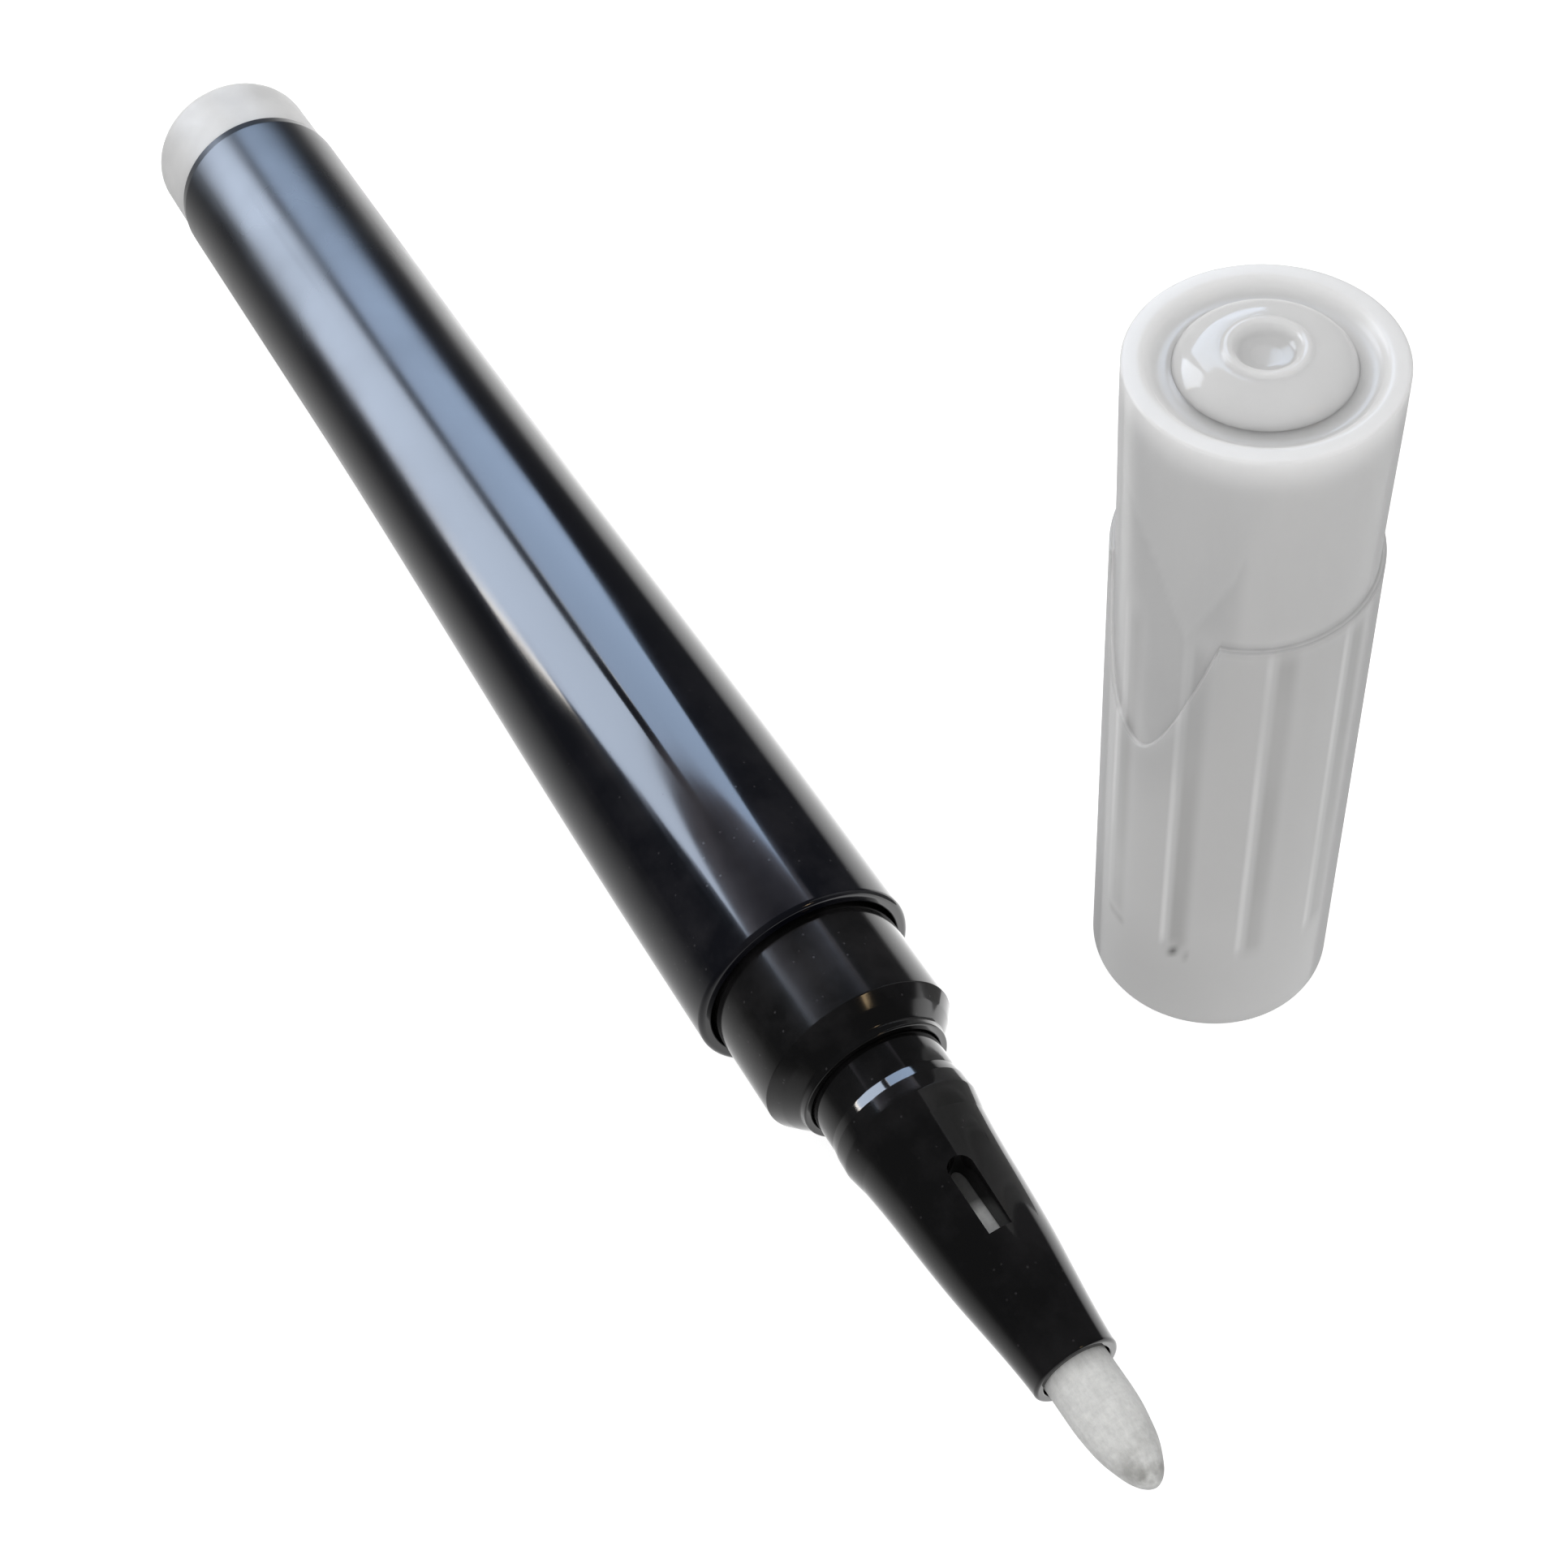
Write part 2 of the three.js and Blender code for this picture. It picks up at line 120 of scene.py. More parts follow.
# Cap
CAP_HEIGHT = 44.2
SLEEVE_RADII = (6.58, 6.52)  # at the mouth and at the sleeve's top edge
SLEEVE_TOP = 31.9
SLEEVE_TILT = (0.6, math.radians(150))  # how much the top edge rises, and towards where
WAIST_RADII = (6.25, 6.36)  # at the sleeve's edge and at the rim
CAP_BORE = 5.75
MOAT_RADIUS = 5.42
MOAT_DEPTH = 0.55
MOAT_FLOOR = 1.1
MOAT_HOLE = 3.95
MOAT_BEND = (0.4, 0.35)  # how far the floor's inner end curls, across and up
RIBS = 10
RIB_HALF = 0.55
RIB_EDGE = 0.14  # half width of a rib's sloping sides
RIB_FROM, RIB_FULL, RIB_TO = 6.6, 8.6, 32.0
RIB_RADII = (5.42, 4.98)
RIB_TURN = math.radians(-18)
NOTCH_TURN = math.radians(-83)
NOTCH_BOTTOM = 22.3
NOTCH_LEFT = (0.31, 4.7, 5.0)  # the parabola's steepness, its width, where it turns upright
NOTCH_RIGHT = (4.2, 2.6)  # the hyperbola's slope and its radius at the bottom

# Painted shade and highlight in the cap's colour: slopes are pairs of ends, sideways from a rib's
# middle or outwards
RIB_BAND = ((-0.5, -0.2), (0.1, 0.75))
RIB_LINE = ((-0.95, -0.75), (-0.7, -0.5))
RIB_FOOT = (0.35, 0.75)
RIM_SHADE = (5.5, 6.1)
SLEEVE_SKIN = (6.39, 6.44)
SHADE_FOLD = ((-100, -78, -62, -43, -40), (39, 36, 32, 36.7, 38.2))  # degrees, heights
FOLD_ENDS = ((-115, -95), (-44, -36))  # degrees
LEDGE_HALF, LEDGE_RADIUS, LEDGE_HEIGHTS = 0.13, 6.1, (31, 31.7)

# Inner seal
SEAL_RADII = (4.24, 4.7)  # at the dome's foot and at its mouth
SEAL_MOUTH = 9.5
DOME_FOOT = 43.2
DOME_FULLNESS = 2.2  # power of the dome's curve; 2 is an ellipse
SEAL_CROWN = 45.1
DIMPLE_RADIUS = 1.7
DIMPLE_DEPTH = 0.65
LIP_WIDTH, LIP_RISE = 0.25, 0.17  # of the raised ring round the dimple
THIMBLE_MOUTH, THIMBLE_TOP = (4.2, 4.0), (3.3, 42.3)  # inside: radii, then radius and height


# ---------------------------------------------------------------- surfaces


ARC_STEP = math.radians(11)  # the most that a fillet turns from one point to the next
FILLET_REACH = 0.45  # the most of its shorter side that a fillet takes
GUARD_REACH = 0.49  # and how far along it the guard point next to the arc may be
GUARD = 0.3  # that point's distance from the arc, as a share of the fillet


def rounded(corners, loop=True, step=4.0):
    """A profile through (station, radius, fillet) corners. Each corner becomes the arc that is
    tangent to both of its sides; one more point close to each end of an arc, and points every
    step along a long side, keep the flats flat when the surface is shaded smooth."""
    points = np.array([c[:2] for c in corners], float)
    out = []
    count = len(corners)
    for i, (point, fillet) in enumerate(zip(points, (c[2] for c in corners))):
        at_end = not loop and i in (0, count - 1)
        before, after = points[i - 1] - point, points[(i + 1) % count] - point
        lengths = np.linalg.norm(before), np.linalg.norm(after)
        if at_end or fillet == 0:
            arc = [point]
        else:
            a, b = before / lengths[0], after / lengths[1]
            half = math.acos(np.clip(a @ b, -1, 1)) / 2
            cut = min(fillet / math.tan(half), FILLET_REACH * min(lengths))
            centre = point + (a + b) / np.linalg.norm(a + b) * (cut / math.cos(half))
            start, end = point + a * cut - centre, point + b * cut - centre
            swing = math.pi - 2 * half
            shares = np.linspace(0, 1, max(4, int(swing / ARC_STEP) + 1))
            arc = [
                centre
                + (math.sin((1 - k) * swing) * start + math.sin(k * swing) * end)
                / math.sin(swing)
                for k in shares
            ]
            guard = min(GUARD * fillet, GUARD_REACH * min(lengths) - cut)
            arc = [arc[0] + a * guard, *arc, arc[-1] + b * guard]
        if out:
            gap = np.linalg.norm(arc[0] - out[-1])
            shares = np.linspace(0, 1, int(gap / step) + 2)[1:-1, None]
            out.extend(out[-1] + (arc[0] - out[-1]) * shares)
        out.extend(arc)
    return np.array(out)


def on_pen(station, radius, turn):
    """Points at a station along the pen and a radius from its axis, turned from the top to +Y."""
    x = PEN_MOUTH.x + station * MM + 0 * turn
    y = PEN_MOUTH.y + radius * MM * np.sin(turn)
    z = PEN_MOUTH.z + radius * MM * np.cos(turn)
    return np.stack(np.broadcast_arrays(x, y, z), -1)


def on_cap(height, radius, turn):
    """Points at a height up the cap and a radius from its axis, turned from +X to +Y."""
    x = CAP_FOOT.x + radius * MM * np.cos(turn)
    y = CAP_FOOT.y + radius * MM * np.sin(turn)
    z = CAP_FOOT.z + height * MM + 0 * turn
    return np.stack(np.broadcast_arrays(x, y, z), -1)


def round_turns(count):
    """Evenly spaced turns round an axis, as one row."""
    return np.linspace(0, TURN, count, endpoint=False)[None, :]


def skin(name, points, loop, holes=None, walls=()):
    """A mesh of a grid of points (rows, columns, 3): quads between neighbours, wrapping round the
    columns, and round the rows too where the profile is a loop. Cells marked in holes are left
    out, and each pair of equal point chains in walls is joined by a strip. A row that shrinks to
    one point is merged, and the faces are turned outwards."""
    rows, columns = points.shape[:2]
    row = np.arange(rows if loop else rows - 1)[:, None]
    column = np.arange(columns)[None, :]
    here, there = row * columns, (row + 1) % rows * columns
    across = (column + 1) % columns
    quads = np.stack(
        [here + column, here + across, there + across, there + column], -1
    )
    quads = quads.reshape(-1, 4) if holes is None else quads[~holes]
    strips = [np.stack([a[:-1], a[1:], b[1:], b[:-1]], -1) for a, b in walls]
    faces = np.concatenate([quads, *strips])
    mesh = bpy.data.meshes.new(name)
    mesh.from_pydata(points.reshape(-1, 3).tolist(), [], faces.tolist())
    work = bmesh.new()
    work.from_mesh(mesh)
    bmesh.ops.remove_doubles(work, verts=work.verts, dist=1e-7)
    bmesh.ops.recalc_face_normals(work, faces=work.faces)
    if work.calc_volume(signed=True) < 0:
        bmesh.ops.reverse_faces(work, faces=work.faces)
    work.to_mesh(mesh)
    work.free()
    mesh.polygons.foreach_set("use_smooth", np.ones(len(mesh.polygons), bool))
    mesh.update()
    piece = bpy.data.objects.new(name, mesh)
    bpy.context.scene.collection.objects.link(piece)
    return piece


def smoothstep(low, high, value):
    """0 below low, 1 above high, and the cubic with level ends between them."""
    t = np.clip((value - low) / (high - low), 0, 1)
    return t * t * (3 - 2 * t)


def flowing(stations, radii, at):
    """The cubic through (station, radius) pairs whose slope at each is the mean of its sides."""
    stations, radii = np.array(stations), np.array(radii)
    sides = np.diff(radii) / np.diff(stations)
    slopes = np.concatenate([sides[:1], (sides[1:] + sides[:-1]) / 2, sides[-1:]])
    i = np.clip(np.searchsorted(stations, at) - 1, 0, len(sides) - 1)
    width = stations[i + 1] - stations[i]
    t = (at - stations[i]) / width
    return (
        radii[i] * (1 + 2 * t) * (1 - t) ** 2
        + slopes[i] * width * t * (1 - t) ** 2
        + radii[i + 1] * (3 - 2 * t) * t**2
        + slopes[i + 1] * width * (t - 1) * t**2
    )


def barrel_radius(station):
    """Parallel behind the mouth, then an S-shaped taper down to a parallel tail."""
    share = smoothstep(TAPER_FROM, TAPER_TO, station)
    return TAIL_RADIUS + (BARREL_RADIUS - TAIL_RADIUS) * share


def barrel_skin():
    """The barrel's section carried once round: outside along the taper, round the mouth's lip,
    back along counterbore and bore."""
    tail = -BARREL_LENGTH
    along = np.linspace(tail + 1.6, -0.9, 120)
    outside = [(s, barrel_radius(s), 0) for s in along]
    profile = rounded(
        [
            (tail, BORE[1], 0.1),
            (tail, TAIL_END_RADIUS, 0.03),
            (tail + TAIL_EDGE, TAIL_RADIUS - 0.01, 0.5),
            *outside,
            (0, BARREL_RADIUS, LIP_FILLET),
            (0, COUNTERBORE[0], 0.12),
            (-COUNTERBORE[1], COUNTERBORE[0], 0),
            (-COUNTERBORE[1], BORE[0], 0),
        ]
    )
    station, radius = profile.T[..., None]
    return skin("barrel_skin", on_pen(station, radius, round_turns(320)), True)


def plug_skin():
    """The end plug's section carried once round, from the middle of its end over the rounded
    edge and the shoulder to the hollow spigot inside the barrel."""
    end = -(BARREL_LENGTH + PLUG_PROUD)
    shoulder = -BARREL_LENGTH - 0.02
    spigot = -BARREL_LENGTH + SPIGOT_LENGTH
    hollow = SPIGOT_RADIUS - PLUG_WALLS[0]
    profile = rounded(
        [
            (end + GATE_DEPTH, 0, 0),
            (end + GATE_DEPTH, GATE_RADII[0], 0.1),
            (end, GATE_RADII[1], 0.15),
            (end, PLUG_RADIUS - 0.04, PLUG_FILLET),
            (shoulder, PLUG_RADIUS, 0.04),
            (shoulder, SPIGOT_RADIUS, 0.1),
            (spigot, SPIGOT_RADIUS, 0.3),
            (spigot, hollow, 0.1),
            (end + PLUG_WALLS[1], hollow, 0.5),
            (end + PLUG_WALLS[1], 0, 0),
        ],
        loop=False,
    )
    station, radius = profile.T[..., None]
    return skin("end_plug_skin", on_pen(station, radius, round_turns(192)), False)


def collar_skin():
    """The collar's section carried once round: the parallel neck, the lead-in cone, the thin rim
    and the stepped bore."""
    profile = rounded(
        [
            (-NECK_INSERT, NECK_BORE, 0),
            (-NECK_INSERT, NECK_RADIUS, 0.3),
            (CONE_STATIONS[0], NECK_RADIUS + 0.01, 0.1),
            (*CONE_BELLY, 1.5),
            (CONE_STATIONS[1], RIM_RADIUS, 0.2),
            (RIM_END, RIM_RADIUS - 0.03, 0.1),
            (RIM_END, RIM_BORE, 0.1),
            (RIM_BORE_FROM, RIM_BORE, 0),
            (RIM_BORE_FROM, NECK_BORE, 0),
        ]
    )
    station, radius = profile.T[..., None]
    return skin("collar_skin", on_pen(station, radius, round_turns(256)), True)


def nose_taper(station):
    """The slightly bulging taper of the nose."""
    return flowing(NOSE_STATIONS, NOSE_RADII, station)


def nose_skin():
    """The nose's section carried once round, with one vent slot cut through to the bore. Rows and
    columns are bent to the slot's outline, a half round behind and square in front; the cells
    inside it are left out of the outside and of the bore, and a wall joins the two."""
    half = VENT_WIDTH / 2
    start = VENT_FROM + half
    back_rows = np.linspace(NOSE_TAPER_FROM, start, 12, endpoint=False)
    slot_rows = np.linspace(start, VENT_TO, 22)
    front_rows = np.linspace(VENT_TO, NOSE_LIP_FROM, 26)[1:]
    tapered = np.concatenate([back_rows, slot_rows, front_rows])
    ends = nose_taper(np.array([NOSE_TAPER_FROM, NOSE_LIP_FROM]))
    flange_from, flange_to, flange_radius = NOSE_FLANGE
    lead = rounded(
        [
            (flange_from, NOSE_BORE, 0),
            (flange_from, flange_radius, 0.1),
            (flange_to, flange_radius, 0.1),
            (flange_to, NOSE_NECK, 0),
            (9.75, 3.88, 0.3),
            (10.35, 3.975, 0.25),
            (11.3, 4.01, 0.7),
            (12.6, 3.76, 1.2),
            (NOSE_TAPER_FROM, ends[0], 0),
        ],
        loop=False,
    )[:-1]
    mouth = rounded(
        [
            (NOSE_LIP_FROM, ends[1], 0),
            (NOSE_STATIONS[-1], NOSE_RADII[-1], 0.2),
            (NOSE_STATIONS[-1], NOSE_BORE, 0.1),
            (NOSE_LIP_FROM, NOSE_BORE, 0),
        ],
        loop=False,
    )[1:-1]
    taper = np.stack([tapered, nose_taper(tapered)], -1)
    bore = np.stack([tapered[::-1], np.full(len(tapered), NOSE_BORE)], -1)
    station, radius = np.concatenate([lead, taper, mouth, bore]).T[..., None]

    reach = half / VENT_RADIUS
    across = reach * np.sin(np.linspace(-math.pi / 2, math.pi / 2, VENT_COLUMNS + 1))
    rest = np.linspace(reach, TURN - reach, 200)[1:-1]
    turn = np.concatenate([across, rest])[None, :]

    # The slot's back end: the station of its half round at each column.
    offset = np.clip(turn / reach, -1, 1) * half
    inside = np.abs(turn) <= reach + 1e-9
    back = np.where(inside, start - np.sqrt(np.maximum(half**2 - offset**2, 0)), start)
    behind = (station >= NOSE_TAPER_FROM) & (station < start)
    within = (station >= start) & (station <= VENT_TO)
    lead_in = start - NOSE_TAPER_FROM
    pulled = NOSE_TAPER_FROM + (station - NOSE_TAPER_FROM) * (back - NOSE_TAPER_FROM) / lead_in
    spread = back + (station - start) * (VENT_TO - back) / (VENT_TO - start)
    bent = np.where(behind, pulled, np.where(within, spread, station))
    near_taper = (behind | within) & (radius > NOSE_BORE + 0.1)
    radius = np.where(near_taper, nose_taper(bent), radius)
    points = on_pen(bent, radius, turn + VENT_TURN)

    rows, columns = points.shape[:2]
    first = len(lead) + len(back_rows)
    last = first + len(slot_rows) - 1
    bore_first = len(lead) + len(taper) + len(mouth)
    bore_row = lambda row: bore_first + len(tapered) - 1 - (row - len(lead))
    holes = np.zeros((rows, columns), bool)
    holes[first:last, :VENT_COLUMNS] = True
    holes[bore_row(last) : bore_row(first), :VENT_COLUMNS] = True

    down, over = np.arange(first, last + 1), np.arange(VENT_COLUMNS + 1)
    path = np.concatenate(
        [
            np.stack([down, 0 * down], -1),
            np.stack([0 * over[1:] + last, over[1:]], -1),
            np.stack([down[::-1][1:], 0 * down[1:] + VENT_COLUMNS], -1),
            np.stack([0 * over[1:] + first, over[::-1][1:]], -1),
        ]
    )
    outer_chain = path[:, 0] * columns + path[:, 1]
    bore_chain = bore_row(path[:, 0]) * columns + path[:, 1]
    piece = skin("nose_skin", points, True, holes, [(outer_chain, bore_chain)])
    piece.data.set_sharp_from_angle(angle=math.radians(50))
    return piece


def nib_skin():
    """A felt bullet: the radius follows a blunt ellipse past the shoulder, and towards the tip a
    wave of two and one of five round the turn press it a little out of round."""
    share = 1 - (1 - np.linspace(0, 1, 90)) ** 1.6  # rows crowd towards the tip
    along, across = NIB_POWERS
    bullet = np.stack(
        [
            NIB_SHOULDER + (NIB_TIP - NIB_SHOULDER) * share,
            NIB_RADIUS * np.maximum(1 - share**along, 0) ** across,
        ],
        -1,
    )
    back = rounded(
        [
            (NIB_BACK, 0, 0),
            (NIB_BACK, NIB_RADIUS, 0.25),
            (NIB_SHOULDER - 8, NIB_RADIUS, 0),
            (NIB_SHOULDER - 0.2, NIB_RADIUS, 0),
        ],
        loop=False,
    )
    station, radius = np.concatenate([back, bullet]).T[..., None]
    turn = round_turns(160)
    beyond = smoothstep(NIB_SHOULDER, NIB_TIP, station)
    radius = radius * (
        1
        + beyond * NIB_OVAL * np.cos(2 * turn + 0.7)
        + beyond * NIB_DENTS * np.sin(5 * turn + 3 * station)
    )
    return skin("nib_skin", on_pen(station, radius, turn), False)


def sleeve_edge(turn):
    """Height of the sleeve's top edge round the cap: a slightly tilted ring, cut by the thumb
    notch. The notch rises as a steepening parabola on its left and as one branch of a hyperbola
    on its right."""
    rise, towards = SLEEVE_TILT
    ring = SLEEVE_TOP + rise + rise * np.cos(turn - towards)
    aside = (turn - NOTCH_TURN + math.pi) % TURN - math.pi
    arc = aside * SLEEVE_RADII[1]
    steepness, width, upright_at = NOTCH_LEFT
    reach = np.clip(-arc, 0, width)
    left = steepness * reach**2 / (1 - (reach / upright_at) ** 3)
    slope, bottom = NOTCH_RIGHT
    right = slope * (np.sqrt(arc**2 + bottom**2) - bottom)
    return np.minimum(ring, NOTCH_BOTTOM + np.where(arc < 0, left, right))


def cap_skin():
    """The cap shell's section carried once round. Rows outside are stretched so that the sleeve's
    step follows its edge line; inside, ribs stand in from the bore by a share that falls off
    across each rib's width."""
    step = SLEEVE_TOP
    near = 0.5  # half height of the band that keeps its shape round the step
    top = CAP_HEIGHT - 2.5  # above this the rows stay level
    sleeve = np.linspace(0.6, step - near, 40)
    sleeve_radii = np.interp(sleeve, [0, step], SLEEVE_RADII)
    waist = np.linspace(step + near, top, 26)
    swell = smoothstep(step, CAP_HEIGHT, waist)
    waist_radii = WAIST_RADII[0] + (WAIST_RADII[1] - WAIST_RADII[0]) * swell
    floor = CAP_HEIGHT - MOAT_DEPTH
    outside = rounded(
        [
            (0, CAP_BORE + 0.1, 0.08),
            (0, SLEEVE_RADII[0], 0.16),
            *zip(sleeve, sleeve_radii, 0 * sleeve),
            (step, SLEEVE_RADII[1], 0.09),
            (step, WAIST_RADII[0], 0.09),
            *zip(waist, waist_radii, 0 * waist),
            (CAP_HEIGHT, WAIST_RADII[1], 0.14),
            (CAP_HEIGHT, MOAT_RADIUS, 0.4),
            (floor, MOAT_RADIUS - 0.45, 0.6),
            (floor, MOAT_HOLE + MOAT_BEND[0], 0.5),
            (floor + MOAT_BEND[1], MOAT_HOLE, 0),
        ],
        loop=False,
    )
    count_out = int(np.argmax(outside[:, 0] > CAP_HEIGHT - 0.01))
    under = floor - MOAT_FLOOR
    ribbed = np.concatenate(
        [
            np.linspace(under - 0.3, RIB_TO + 0.15, 6),
            [RIB_TO, RIB_TO - 0.12],
            np.linspace(RIB_TO - 0.4, RIB_FULL, 16),
            np.linspace(RIB_FULL - 0.25, RIB_FROM + 0.05, 8),
            [RIB_FROM - 0.1],
            np.linspace(RIB_FROM - 0.6, 0.5, 5),
        ]
    )
    inside = np.concatenate(
        [
            [(floor - 0.1, MOAT_HOLE), (under, MOAT_HOLE), (under, CAP_BORE - 0.2)],
            np.stack([ribbed, np.full(len(ribbed), CAP_BORE)], -1),
        ]
    )
    profile = np.concatenate([outside, inside])
    station, radius = profile.T[..., None]
    turn = round_turns(540)

    edge = sleeve_edge(turn)
    slope = np.gradient(edge[0], turn[0])[None, :] / SLEEVE_RADII[1]
    stretch = np.sqrt(1 + slope**2)
    low, high = step - near, step + near
    below = station * (edge - near * stretch) / low
    beside = edge + (station - step) * stretch
    above = top - (top - station) * (top - edge - near * stretch) / (top - high)
    bent = np.where(station < low, below, np.where(station <= high, beside, above))
    is_outside = (np.arange(len(profile)) < count_out)[:, None]
    height = np.where(is_outside & (station < top), bent, station + 0 * turn)

    aside = (turn - RIB_TURN) % (TURN / RIBS)
    aside = np.minimum(aside, TURN / RIBS - aside) * CAP_BORE
    across = 1 - smoothstep(RIB_HALF - RIB_EDGE, RIB_HALF + RIB_EDGE, aside)
    crest = np.interp(
        station,
        [RIB_FROM - 0.05, RIB_FROM, RIB_FULL, RIB_TO, RIB_TO + 0.1],
        [CAP_BORE, RIB_RADII[0], RIB_RADII[1], RIB_RADII[1], CAP_BORE],
    )
    is_ribbed = (np.arange(len(profile)) >= len(profile) - len(ribbed))[:, None]
    radius = np.where(
        is_ribbed, CAP_BORE - (CAP_BORE - crest) * across, radius + 0 * turn
    )
    piece = skin("cap_skin", on_cap(height, radius, turn), True)
    mark_painted_light(piece)
    return piece


def hump(value, rise, fall):
    """0, then 1 between the two slopes given as pairs of ends, then 0 again."""
    return smoothstep(*rise, value) * (1 - smoothstep(*fall, value))


def line_at(value, half_width):
    """A bell curve round 0."""
    return np.exp(-((value / half_width) ** 2))


def mark_painted_light(piece):
    """Five numbers at every point of the cap that paint light and shade into its colour: a soft
    band of painted shade a rib's width wide and a thin painted highlight along its left side,
    both only at heights where the ribs stand; a soft spot of painted shade at each rib's foot;
    painted shade that is 1 on the sleeve's thicker plastic, with some inside the rim and below a
    V-shaped line above the notch; and a line of painted shade along the sleeve's top edge outside
    the notch."""
    points = np.empty(len(piece.data.vertices) * 3)
    piece.data.vertices.foreach_get("co", points)
    x, y, z = (points.reshape(-1, 3) - np.array(CAP_FOOT)).T / MM
    outwards, turn = np.hypot(x, y), np.arctan2(y, x)

    apart = TURN / RIBS
    aside = ((turn - RIB_TURN + apart / 2) % apart - apart / 2) * CAP_BORE
    standing = hump(z, (RIB_FROM, RIB_FROM + 1.2), (RIB_TO - 1.5, RIB_TO + 0.5))
    band = hump(aside, *RIB_BAND)
    line = hump(aside, *RIB_LINE)
    foot = line_at(z - RIB_FROM, 0.2) * (1 - smoothstep(*RIB_FOOT, np.abs(aside)))

    rim_inside = (1 - smoothstep(*RIM_SHADE, outwards)) * (z > CAP_HEIGHT - 1.5)
    around = np.degrees(turn)
    shade_above_notch = smoothstep(-0.3, 0.8, np.interp(around, *SHADE_FOLD) - z)
    shade_above_notch = shade_above_notch * hump(around, *FOLD_ENDS) * (outwards < SLEEVE_SKIN[0])
    sleeve = smoothstep(*SLEEVE_SKIN, outwards)
    ledge_shade_paint = line_at(z - sleeve_edge(turn), LEDGE_HALF)
    ledge_shade_paint = ledge_shade_paint * (outwards > LEDGE_RADIUS) * smoothstep(*LEDGE_HEIGHTS, z)
    for name, values in (
        ("wall_shade_paint", sleeve + 0.3 * rim_inside + 0.4 * shade_above_notch),
        ("ledge_shade_paint", ledge_shade_paint),
        ("rib_shade_paint", band * standing),
        ("rib_highlight_paint", line * standing),
        ("foot_shade_paint", foot),
    ):
        mark = piece.data.attributes.new(name, "FLOAT", "POINT")
        mark.data.foreach_set("value", values.astype(np.float32))


def seal_skin():
    """The inner seal's section carried once round: the dimple's floor, its raised lip, a dome
    that follows a superellipse down to its foot, the long tapering side, and the thimble's
    inside."""
    lip = DIMPLE_RADIUS + LIP_WIDTH
    floor = SEAL_CROWN - DIMPLE_DEPTH
    shoulder = SEAL_CROWN - LIP_RISE
    angle = np.linspace(0.12, math.pi / 2, 40)
    out = np.sin(angle)
    up = np.maximum(1 - out**DOME_FULLNESS, 0) ** (1 / DOME_FULLNESS)
    dome = np.stack(
        [
            DOME_FOOT + (shoulder - DOME_FOOT) * up,
            lip + 0.1 + (SEAL_RADII[0] - lip - 0.1) * out,
            0 * out,
        ],
        -1,
    )
    profile = rounded(
        [
            (floor, 0, 0),
            (floor + 0.02, 0.7, 0.5),
            (floor + 0.14, 1.25, 0.4),
            (SEAL_CROWN - 0.06, lip - 0.4, 0.25),
            (SEAL_CROWN, lip - 0.2, 0.15),
            (SEAL_CROWN - 0.03, lip - 0.05, 0.15),
            (shoulder - 0.01, lip + 0.1, 0.2),
            *dome.tolist(),
            (SEAL_MOUTH, SEAL_RADII[1], 0.15),
            (SEAL_MOUTH, THIMBLE_MOUTH[0], 0.15),
            (SEAL_MOUTH + 2, THIMBLE_MOUTH[1], 0.5),
            (THIMBLE_TOP[1] - 0.3, THIMBLE_TOP[0], 0.6),
            (THIMBLE_TOP[1], 0, 0),
        ],
        loop=False,
    )
    station, radius = profile.T[..., None]
    return skin("inner_seal_skin", on_cap(station, radius, round_turns(256)), False)


# ---------------------------------------------------------------- finishes


def grey(value):
    """An even grey, as a shader takes it."""
    return value, value, value, 1


# Colours
BLUE_BLACK = (0.0018, 0.0021, 0.0042, 1)
PLAIN_BLACK = (0.0026, 0.0025, 0.0025, 1)
DUST = (0.30, 0.28, 0.30, 1)
PLUG_CLOUD = (grey(0.62), grey(0.68))
FELT_FIBRES = ((0.58, 0.58, 0.57, 1), (0.73, 0.73, 0.715, 1))
FELT_STAIN = (0.26, 0.255, 0.24, 1)
# Painted shade: the felt's colour where it lies inside the nose
PAINTED_SHADE_FELT = grey(0.02)
CAP_PALE, SEAL_PALE = 0.84, 0.66
# Greys of painted shade in the cap's colour: on the sleeve's wall, along each rib, under the
# sleeve's edge and at each rib's foot
PAINTED_WALL_SHADE, PAINTED_RIB_SHADE, PAINTED_LEDGE_SHADE, PAINTED_FOOT_SHADE = map(grey, (0.56, 0.38, 0.12, 0.1))
FILLER = ((0.62, 0.62, 0.58, 1), (0.85, 0.85, 0.82, 1))
WRAPPER = (grey(0.80), grey(0.92))
WHITE, NO_COLOUR = grey(1), grey(0)

# Where along the pen a finish changes: pairs of stations
POLISHED = (-66, -18)
FELT_IN_NOSE = (17.1, 17.9)  # painted shade where the vent slot's back edge shades the felt: it is coloured dark behind the slot's middle
FELT_OUTSIDE = (25, 27)
FELT_WORN = (30.5, 33.6)


def put(tree, kind, inputs=None, **settings):
    """A node of that kind, with its inputs joined to sockets or set to values."""
    node = tree.nodes.new("ShaderNode" + kind)
    for key, value in settings.items():
        setattr(node, key, value)
    for key, value in (inputs or {}).items():
        if isinstance(value, bpy.types.NodeSocket):
            tree.links.new(value, node.inputs[key])
        else:
            node.inputs[key].default_value = value
    return node


def new_finish(name, values):
    """A material whose shader has these constant values, its tree, its shader and its place."""
    material = bpy.data.materials.new(name)
    material.use_nodes = True
    tree = material.node_tree
    shader = tree.nodes["Principled BSDF"]
    for key, value in values.items():
        shader.inputs[key].default_value = value
    return material, tree, shader, put(tree, "TexCoord").outputs["Object"]


